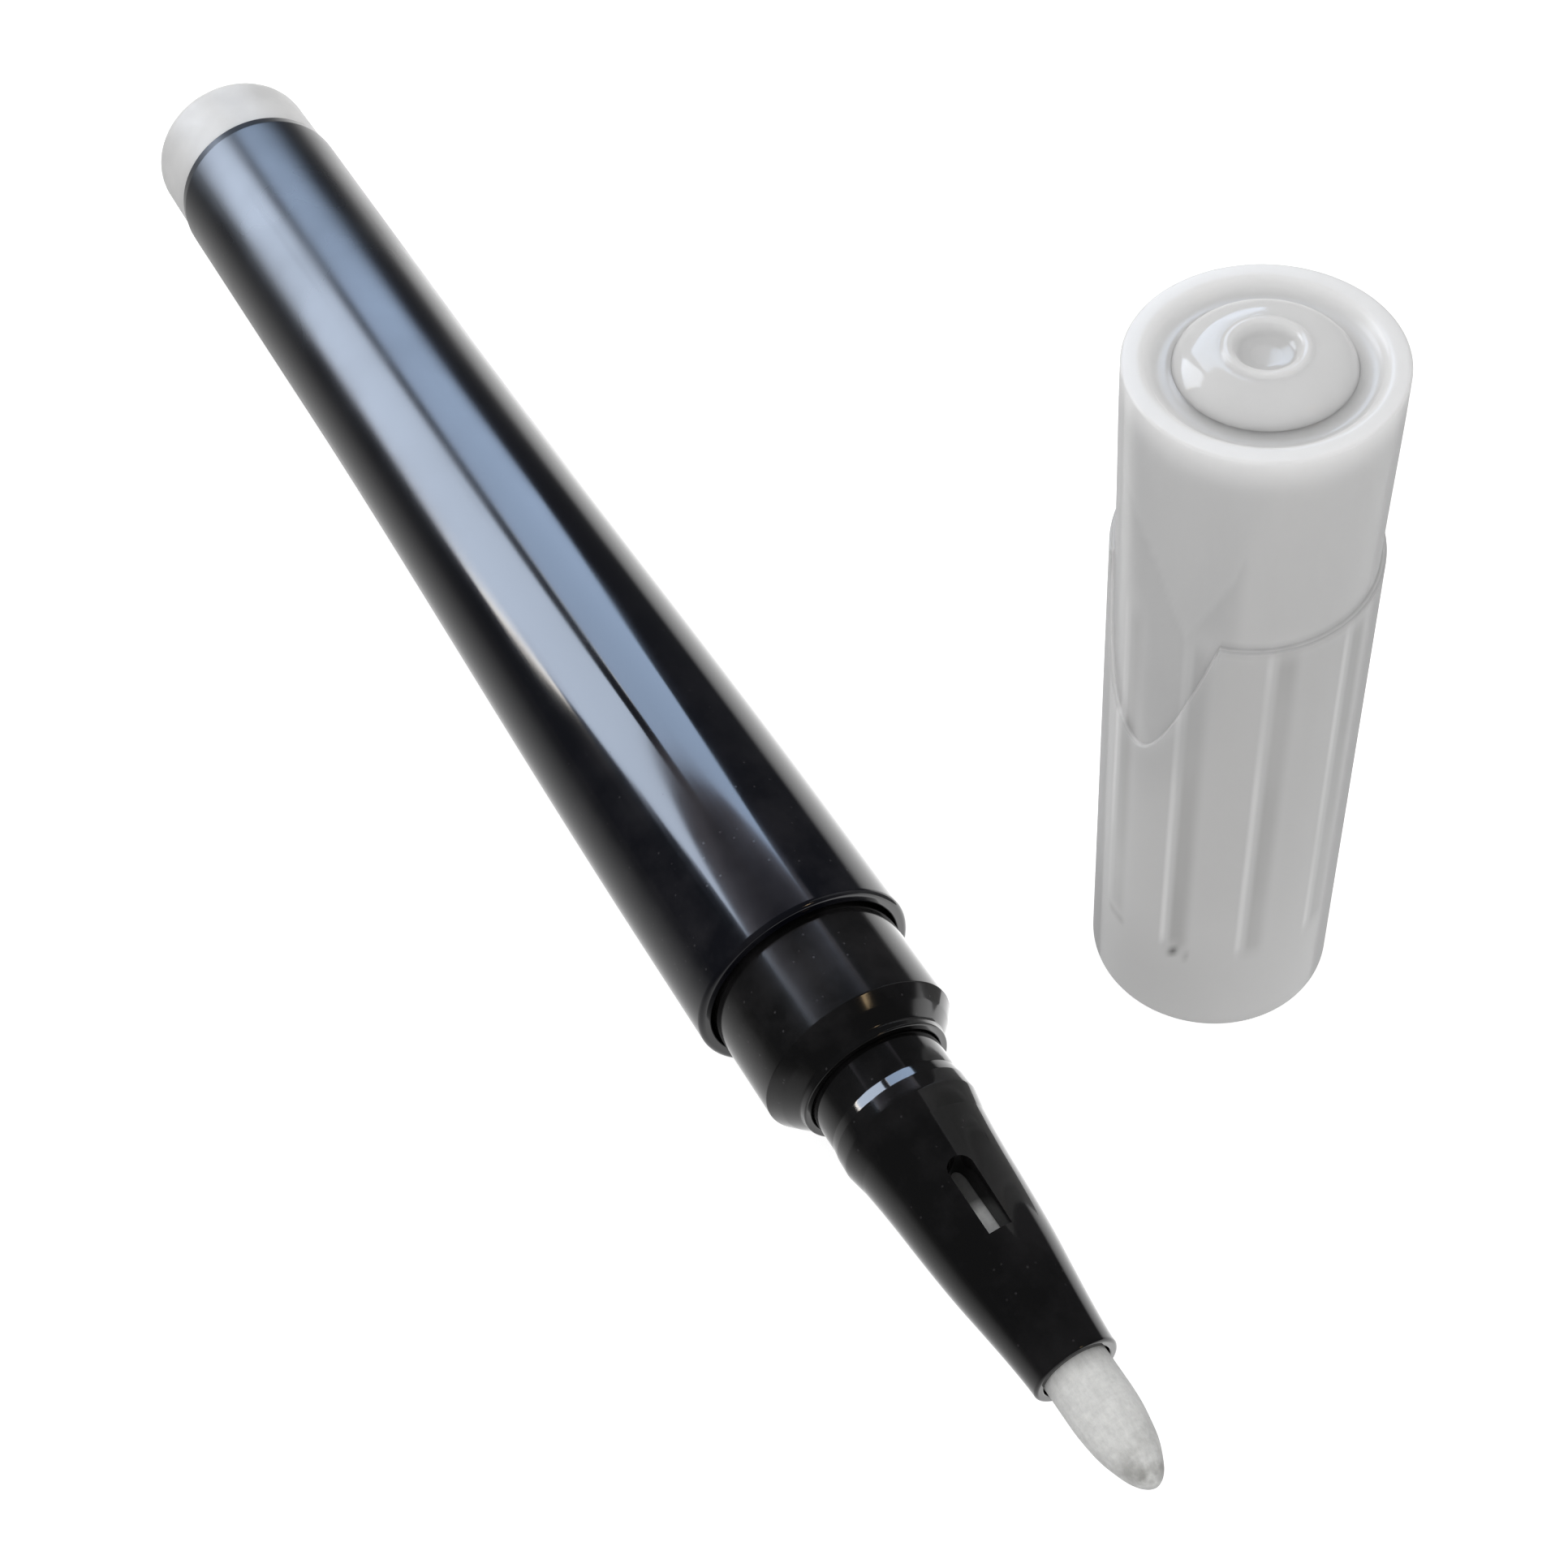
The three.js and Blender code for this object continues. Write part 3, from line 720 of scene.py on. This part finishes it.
def noise(tree, where, scale, detail=3.0, rough=0.5, stretch=None):
    """Value of a noise over the piece, stretched by a mapping where it runs along something."""
    if stretch is not None:
        where = put(tree, "Mapping", {"Vector": where, "Scale": stretch}).outputs[0]
    made = put(
        tree,
        "TexNoise",
        {"Vector": where, "Scale": scale, "Detail": detail, "Roughness": rough},
    )
    return made.outputs["Fac"]


def between(tree, value, low, high, to_low=0.0, to_high=1.0):
    """A value remapped from one range to another, and held at its ends."""
    made = put(
        tree,
        "MapRange",
        {
            "Value": value,
            "From Min": low,
            "From Max": high,
            "To Min": to_low,
            "To Max": to_high,
        },
    )
    return made.outputs["Result"]


def sums(tree, how, a, b):
    """Two values joined by one step of arithmetic."""
    return put(tree, "Math", {0: a, 1: b}, operation=how).outputs[0]


def relief(tree, height, strength, depth, under=None):
    """A normal bent by a value that stands out of the surface by a depth in millimetres."""
    inputs = {"Strength": strength, "Distance": depth * MM, "Height": height}
    if under is not None:
        inputs["Normal"] = under
    return put(tree, "Bump", inputs).outputs[0]


def stations(pair):
    """Two stations along the pen, as places on X."""
    return [PEN_MOUTH.x + station * MM for station in pair]


def blended(tree, share, a, b):
    """Colour a where share is 0 and colour b where it is 1."""
    made = put(
        tree,
        "Mix",
        {"Factor": share, "A": a, "B": b},
        data_type="RGBA",
    )
    return made.outputs[2]


def specks(tree, where, scale, size):
    """Small round dots scattered over a piece, 1 in their middles."""
    cells = put(
        tree, "TexVoronoi", {"Vector": where, "Scale": scale, "Randomness": 1.0}
    )
    dot = between(tree, cells.outputs["Distance"], size, size * 0.5, 0.0, 1.0)
    few = between(
        tree,
        put(tree, "SeparateColor", {"Color": cells.outputs["Color"]}).outputs[0],
        0.86,
        0.9,
    )
    return sums(tree, "MULTIPLY", dot, few)


def black_finish(name, black, roughness, dusty, dust):
    """Moulded black plastic: a gloss that runs from one roughness to another between the polished
    stations, with a faint waviness, hairline scratches along the pen, and a film of handling dust
    that gathers between the dusty stations."""
    material, tree, shader, where = new_finish(
        name, {"Specular IOR Level": 0.5, "IOR": 1.5}
    )
    station = put(tree, "SeparateXYZ", {"Vector": where}).outputs[0]
    gathered = between(tree, station, *stations(dusty))
    cloud = between(tree, noise(tree, where, 260.0, 5.0, 0.6), 0.42, 0.66)
    film = sums(tree, "MULTIPLY", sums(tree, "MULTIPLY", gathered, cloud), dust)
    grains = sums(tree, "MULTIPLY", specks(tree, where, 2600.0, 0.22), gathered)
    grains = sums(tree, "MULTIPLY", grains, dust * 3)
    dirt = put(tree, "Math", {0: film, 1: grains}, operation="ADD", use_clamp=True).outputs[0]
    colour = blended(tree, dirt, black, DUST)
    tree.links.new(colour, shader.inputs["Base Color"])

    hair = noise(tree, where, 900.0, 2.0, 0.5, stretch=(0.03, 1.0, 1.0))
    scratch = between(tree, hair, 0.60, 0.72)
    polish = between(tree, station, *stations(POLISHED), *roughness)
    uneven = between(tree, noise(tree, where, 120.0), 0.3, 0.7, 0.85, 1.2)
    rough = sums(tree, "MULTIPLY", polish, uneven)
    rough = sums(tree, "ADD", rough, sums(tree, "MULTIPLY", scratch, 0.02))
    rough = sums(tree, "ADD", rough, sums(tree, "MULTIPLY", dirt, 0.6))
    tree.links.new(rough, shader.inputs["Roughness"])

    wavy = relief(tree, noise(tree, where, 90.0, 1.0), 0.05, 0.4)
    fine = relief(tree, sums(tree, "SUBTRACT", dirt, scratch), 0.06, 0.02, wavy)
    tree.links.new(fine, shader.inputs["Normal"])
    return material


def milky_finish():
    """Milky white plug: soft light-scattering plastic, a little uneven, finely pitted."""
    material, tree, shader, where = new_finish(
        "milky_white_plastic",
        {
            "Subsurface Weight": 0.6,
            "Subsurface Radius": (0.0022, 0.0022, 0.0021),
            "Subsurface Scale": 1.0,
            "Specular IOR Level": 0.2,
            "Specular Tint": (1.0, 0.86, 0.72, 1),
        },
    )
    cloud = between(tree, noise(tree, where, 320.0, 4.0), 0.35, 0.65)
    tree.links.new(blended(tree, cloud, *PLUG_CLOUD), shader.inputs["Base Color"])
    rough = between(tree, noise(tree, where, 1500.0), 0.3, 0.7, 0.38, 0.5)
    tree.links.new(rough, shader.inputs["Roughness"])
    pits = relief(tree, noise(tree, where, 2600.0), 0.15, 0.03)
    tree.links.new(pits, shader.inputs["Normal"])
    return material


def felt_finish():
    """Pressed felt: pale fibres that run along the nib and others that cross them, blotched dark
    at the worn tip, and darkened with painted shade inside the nose."""
    material, tree, shader, where = new_finish(
        "pressed_felt",
        {
            "Roughness": 0.95,
            "Sheen Weight": 0.35,
            "Sheen Roughness": 0.5,
            "Specular IOR Level": 0.15,
            "Subsurface Weight": 0.35,
            "Subsurface Radius": (0.0009, 0.0009, 0.0008),
            "Subsurface Scale": 1.0,
        },
    )
    fibres = noise(tree, where, 3000.0, 5.0, 0.7, stretch=(0.45, 1.0, 1.0))
    crossed = noise(tree, where, 3600.0, 4.0, 0.7, stretch=(1.0, 0.3, 0.6))
    station = put(tree, "SeparateXYZ", {"Vector": where}).outputs[0]
    worn = between(tree, station, *stations(FELT_WORN))
    fibres = sums(tree, "MULTIPLY", fibres, 0.6)
    crossed = sums(tree, "MULTIPLY", crossed, 0.4)
    strands = sums(tree, "ADD", fibres, crossed)
    bare = blended(tree, between(tree, strands, 0.36, 0.62), *FELT_FIBRES)
    # Painted shade inside the nose: the felt's colour goes dark behind the vent slot's middle and
    # stays a little darker until the felt leaves the nose
    inside = between(tree, station, *stations(FELT_IN_NOSE), 0.12, 0.8)
    outside = between(tree, station, *stations(FELT_OUTSIDE))
    painted_lit_share = put(tree, "Mix", {0: outside, 2: inside, 3: 1.0}, data_type="FLOAT")
    felt_with_painted_shade = blended(tree, painted_lit_share.outputs[0], PAINTED_SHADE_FELT, bare)
    blotches = between(tree, noise(tree, where, 900.0, 5.0), 0.4, 0.65)
    stain = sums(tree, "MULTIPLY", sums(tree, "MULTIPLY", worn, blotches), 0.9)
    tree.links.new(blended(tree, stain, felt_with_painted_shade, FELT_STAIN), shader.inputs["Base Color"])
    tree.links.new(relief(tree, strands, 0.8, 0.06), shader.inputs["Normal"])
    return material


def paint_cap_light_and_shade(tree, where, plastic):
    """Light and shade painted into the cap's colour: painted shade on the sleeve's thicker wall,
    inside the rim and above the notch; for each rib a soft band of painted shade with a thin
    painted highlight along its left, and a dark mark of painted shade at its foot; and a dark
    line of painted shade under the sleeve's edge. Ribs show unevenly along their length."""
    mark = lambda which: put(tree, "Attribute", attribute_name=which).outputs["Fac"]
    flow = noise(tree, where, 260.0, 2.0, 0.5, stretch=(1.0, 1.0, 0.2))
    uneven = between(tree, flow, 0.35, 0.65)
    wall_shade_paint = sums(tree, "MULTIPLY", mark("wall_shade_paint"), 0.75)
    plastic = blended(tree, wall_shade_paint, plastic, PAINTED_WALL_SHADE)
    band = sums(tree, "MULTIPLY", mark("rib_shade_paint"), between(tree, uneven, 0, 1, 0.25, 0.65))
    plastic = blended(tree, band, plastic, PAINTED_RIB_SHADE)
    # Painted highlight: a thin white line mixed into the colour along each rib's left
    line = sums(tree, "MULTIPLY", mark("rib_highlight_paint"), between(tree, uneven, 0, 1, 0.1, 0.7))
    plastic = blended(tree, line, plastic, WHITE)
    ledge_shade_paint = sums(tree, "MULTIPLY", mark("ledge_shade_paint"), 0.35)
    plastic = blended(tree, ledge_shade_paint, plastic, PAINTED_LEDGE_SHADE)
    foot = sums(tree, "MULTIPLY", mark("foot_shade_paint"), between(tree, uneven, 0, 1, 0.2, 0.9))
    return blended(tree, foot, plastic, PAINTED_FOOT_SHADE)


def frosted_finish(name, roughness, pale, ribbed):
    """Natural polypropylene: cloudy plastic that light scatters in, with faint flow marks up the
    wall, and a gloss that fades where it is seen edge on."""
    material, tree, shader, where = new_finish(
        name,
        {
            "Subsurface Weight": 1.0,
            "Subsurface Radius": (0.0024, 0.0024, 0.0024),
            "Subsurface Scale": 1.0,
            "IOR": 1.47,
            "Specular Tint": (1.0, 0.9, 0.8, 1),
        },
    )
    flow = noise(tree, where, 420.0, 4.0, 0.55, stretch=(1.0, 1.0, 0.25))
    flow = between(tree, flow, 0.35, 0.65)
    plastic = blended(tree, flow, grey(pale), grey(pale + 0.02))
    # On the cap, painted shade and painted highlights from the marks on its points go into this
    # colour
    if ribbed:
        plastic = paint_cap_light_and_shade(tree, where, plastic)
    tree.links.new(plastic, shader.inputs["Base Color"])
    cloud = noise(tree, where, 700.0)
    rough = between(tree, cloud, 0.3, 0.7, roughness * 0.96, roughness * 1.04)
    tree.links.new(rough, shader.inputs["Roughness"])
    facing = put(tree, "LayerWeight").outputs["Facing"]
    gloss = between(tree, facing, 0.35, 0.8, 0.22, 0.0)
    tree.links.new(gloss, shader.inputs["Specular IOR Level"])
    tree.links.new(relief(tree, noise(tree, where, 1100.0), 0.04, 0.04), shader.inputs["Normal"])
    return material


def fibre_finish(name, colours, scale):
    """Bundled filler fibres that run along the reservoir."""
    material, tree, shader, where = new_finish(name, {"Roughness": 0.9})
    strands = noise(tree, where, scale, 4.0, 0.6, stretch=(0.08, 1.0, 1.0))
    colour = blended(tree, between(tree, strands, 0.35, 0.65), *colours)
    tree.links.new(colour, shader.inputs["Base Color"])
    tree.links.new(relief(tree, strands, 0.5, 0.1), shader.inputs["Normal"])
    return material


gloss_black = black_finish("gloss_black_plastic", BLUE_BLACK, (0.29, 0.08), (-30, 0), 0.03)
neck_black = black_finish("neck_black_plastic", PLAIN_BLACK, (0.11, 0.11), (-12, 3), 0.03)
nose_black = black_finish("nose_black_plastic", PLAIN_BLACK, (0.08, 0.08), (-40, 10), 0.02)
milky_white = milky_finish()
felt = felt_finish()
cap_frosted = frosted_finish("frosted_cap_plastic", 0.26, CAP_PALE, ribbed=True)
seal_frosted = frosted_finish("glossy_seal_plastic", 0.08, SEAL_PALE, ribbed=False)


def dress(piece, body, node, material):
    """Gives a piece its finish, puts it on its body and lets it stand for its CAD node."""
    piece.data.materials.append(material)
    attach(piece, body)
    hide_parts(node)


dress(barrel_skin(), "pen", "barrel", gloss_black)
dress(plug_skin(), "pen", "end_plug", milky_white)
dress(collar_skin(), "pen", "collar", neck_black)
dress(nose_skin(), "pen", "nose_cone", nose_black)
dress(nib_skin(), "pen", "nib", felt)
dress(cap_skin(), "cap", "cap_shell", cap_frosted)
dress(seal_skin(), "cap", "cap_inner_seal", seal_frosted)

# The reservoir stays as packed, inside the barrel.
for node, finish in (
    ("reservoir_core", fibre_finish("filler_fibre", FILLER, 3000.0)),
    ("reservoir_film", fibre_finish("wrapper_film", WRAPPER, 1200.0)),
):
    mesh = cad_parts[node].data
    mesh.materials.clear()
    mesh.materials.append(finish)


# ---------------------------------------------------------------- floor, light and camera

FLOOR_GLOW, BOUNCE_GLOW = 0.8, 0.3
FLOOR_CLOUD = (grey(0.49), grey(0.51))
POOL_NEAR = (0.022, 1.05, 0.13)  # on the side away from the cap: reach in metres, strength, rest
POOL_CAP = (0.12, 2.0, 0.2)  # and on the cap's side


def flat_sheet(name, height):
    """A large level square at that height in millimetres, not part of the object."""
    reach = 2.5
    corners = [(-reach, -reach), (reach, -reach), (reach, reach), (-reach, reach)]
    mesh = bpy.data.meshes.new(name)
    mesh.from_pydata([(x, y, height * MM) for x, y in corners], [], [(0, 1, 2, 3)])
    sheet = bpy.data.objects.new(name, mesh)
    bpy.context.scene.collection.objects.link(sheet)
    return sheet


def studio_floor():
    """A pale floor that is seen, and a pool of light over it that only gloss mirrors: bright on
    the cap's side of the pen, and fading fast on the other."""
    floor = flat_sheet("floor", -0.02)
    material, tree, shader, where = new_finish(
        "pale_floor",
        {
            "Roughness": 0.9,
            "Specular IOR Level": 0.1,
            "Emission Color": WHITE,
            "Emission Strength": FLOOR_GLOW,
        },
    )
    colour = blended(tree, noise(tree, where, 40.0), *FLOOR_CLOUD)
    tree.links.new(colour, shader.inputs["Base Color"])
    floor.data.materials.append(material)
    floor.visible_diffuse = False  # its glow is not meant to light the object
    floor.visible_glossy = False

    unlit = {"Base Color": NO_COLOUR, "Specular IOR Level": 0.0}
    bounce = flat_sheet("floor_bounce", -0.04)
    glowing = {"Emission Color": WHITE, "Emission Strength": BOUNCE_GLOW, **unlit}
    bounce.data.materials.append(new_finish("light_off_the_floor", glowing)[0])
    for rays in ("camera", "glossy", "transmission", "shadow"):
        setattr(bounce, "visible_" + rays, False)

    pool = flat_sheet("light_pool", -0.03)
    material, tree, shader, where = new_finish("pool_of_light", unlit)
    aside = put(tree, "SeparateXYZ", {"Vector": where}).outputs[1]
    aside = sums(tree, "SUBTRACT", aside, PEN_MOUTH.y)
    glows = []
    for reach, strength, rest in (POOL_NEAR, POOL_CAP):
        distance = sums(tree, "ABSOLUTE", aside, 0.0)
        fade = sums(tree, "MULTIPLY", distance, -1 / reach)
        fade = put(tree, "Math", {0: fade}, operation="EXPONENT").outputs[0]
        inputs = {0: fade, 1: strength, 2: rest}
        glows.append(put(tree, "Math", inputs, operation="MULTIPLY_ADD").outputs[0])
    side = between(tree, aside, -3 * MM, 3 * MM)
    both = put(tree, "Mix", {0: side, 2: glows[0], 3: glows[1]}, data_type="FLOAT")
    glow = put(tree, "Emission", {"Color": WHITE, "Strength": both.outputs[0]})
    output = tree.nodes["Material Output"]
    tree.links.new(glow.outputs[0], output.inputs["Surface"])
    tree.nodes.remove(shader)
    pool.data.materials.append(material)
    for rays in ("camera", "diffuse", "transmission", "shadow"):
        setattr(pool, "visible_" + rays, False)


def panel(name, middle, facing, size, radiance, mirrored):
    """A soft rectangular light, size (across, up), of even radiance, unseen by the camera: either
    only mirrored in glossy surfaces, or only a fill that no surface mirrors."""
    data = bpy.data.lights.new(name, "AREA")
    data.shape = "RECTANGLE"
    data.size, data.size_y = size
    strongest = max(radiance)
    data.color = tuple(value / strongest for value in radiance)
    data.energy = strongest * math.pi * size[0] * size[1]
    lamp = bpy.data.objects.new(name, data)
    back = -Vector(facing).normalized()
    side = Vector((0, 0, 1)).cross(back)
    side = Vector((1, 0, 0)) if side.length < 1e-6 else side.normalized()
    up = back.cross(side)
    lamp.matrix_world = Matrix.Translation(PEN_MOUTH + Vector(middle)) @ Matrix(
        (side, up, back)
    ).transposed().to_4x4()
    lamp.visible_camera = False
    lamp.visible_glossy = mirrored
    lamp.visible_diffuse = not mirrored
    bpy.context.scene.collection.objects.link(lamp)


studio_floor()
AWAY = 1.2  # metres from the barrel's mouth to the tall soft panels
MIRRORED, FILL = True, False

# Tall panels behind the tail, as shares of that distance: from and to across, from and to up.
for name, (left, right), (low, high), radiance in (
    ("left_panel", (-0.97, -0.17), (0.29, 1.28), (8.6, 10.0, 12.3)),
    ("left_panel_edge", (-1.0, -0.97), (0.32, 0.62), (30.0, 28.0, 25.0)),
    ("right_panel", (0.0, 0.82), (0.57, 1.34), (4.9, 6.4, 8.9)),
    ("right_panel_edge", (-0.01, 0.02), (0.95, 1.24), (13.0, 12.6, 12.0)),
):
    middle = (-AWAY, (left + right) / 2 * AWAY, (low + high) / 2 * AWAY)
    size = ((right - left) * AWAY, (high - low) * AWAY)
    panel(name, middle, (1, 0, 0), size, radiance, MIRRORED)

# Two dim strips of ceiling, over the panels and a little nearer: how far away, and radiance.
for name, far, radiance in (
    ("ceiling_near_panels", -1.0, (0.8, 0.74, 0.8)),
    ("ceiling_beyond", -0.9, (0.3, 0.28, 0.32)),
):
    middle = (far * AWAY, 0.0, 1.37 * AWAY)
    panel(name, middle, (0, 0, -1), (0.1 * AWAY, 2.0 * AWAY), radiance, MIRRORED)

WARM_LAMP = Vector((0.776, 0.474, 0.782))
panel("warm_lamp", WARM_LAMP, -WARM_LAMP, (0.13, 0.11), (11.0, 8.0, 4.6), MIRRORED)

# Fills: place and size as shares of the same distance, the way they face, and radiance.
for name, place, facing, size, strength in (
    ("soft_fill", (-0.5, -0.3, 1.1), (0.45, 0.25, -1.0), (1.3, 1.3), 0.35),
    ("front_fill", (0.8, -0.5, 0.5), (-0.8, 0.5, -0.5), (1.2, 1.2), 0.85),
    ("tall_fill", (-1.0, 0.0, 0.776), (1, 0, 0), (1.9, 1.2), 1.9),
):
    middle, size = [share * AWAY for share in place], [share * AWAY for share in size]
    panel(name, middle, facing, size, [strength] * 3, FILL)

# The room: white behind the floor, dim in mirror-like surfaces, and an even fill for the rest.
world = bpy.data.worlds.new("studio")
bpy.context.scene.world = world
world.use_nodes = True
sky = world.node_tree
sky.nodes.clear()
rays = put(sky, "LightPath").outputs
seen = put(sky, "Background", {"Color": WHITE, "Strength": 1.0})
room = put(sky, "Background", {"Color": (0.93, 0.95, 1.0, 1), "Strength": 0.1})
fill = put(sky, "Background", {"Color": WHITE, "Strength": 0.62})
unseen = put(
    sky, "MixShader", {0: rays["Is Glossy Ray"], 1: fill.outputs[0], 2: room.outputs[0]}
)
mixed = put(
    sky, "MixShader", {0: rays["Is Camera Ray"], 1: unseen.outputs[0], 2: seen.outputs[0]}
)
put(sky, "OutputWorld", {"Surface": mixed.outputs[0]})

# The camera looks down over the nib, a little turned about its own axis.
CAMERA_FROM_MOUTH = Vector((70.627, -30.988, 116.681)) * MM
CAMERA_TURN = math.radians(156.243)
CAMERA_DOWN = math.radians(52.156)
CAMERA_ROLL = math.radians(-6.894)
FILM_WIDTH, FOCAL_LENGTH = 36, 58.733
forward = Vector(
    (
        math.cos(CAMERA_DOWN) * math.cos(CAMERA_TURN),
        math.cos(CAMERA_DOWN) * math.sin(CAMERA_TURN),
        -math.sin(CAMERA_DOWN),
    )
)
level = Vector((math.sin(CAMERA_TURN), -math.cos(CAMERA_TURN), 0))
upright = level.cross(forward)
right = math.cos(CAMERA_ROLL) * level + math.sin(CAMERA_ROLL) * upright
above = math.cos(CAMERA_ROLL) * upright - math.sin(CAMERA_ROLL) * level
lens = bpy.data.cameras.new("camera")
lens.sensor_width, lens.lens = FILM_WIDTH, FOCAL_LENGTH
lens.clip_start = 0.01
camera = bpy.data.objects.new("camera", lens)
camera.matrix_world = Matrix.Translation(PEN_MOUTH + CAMERA_FROM_MOUTH) @ Matrix(
    (right, above, -forward)
).transposed().to_4x4()
bpy.context.scene.collection.objects.link(camera)
bpy.context.scene.camera = camera
bpy.context.scene.view_settings.view_transform = "Standard"
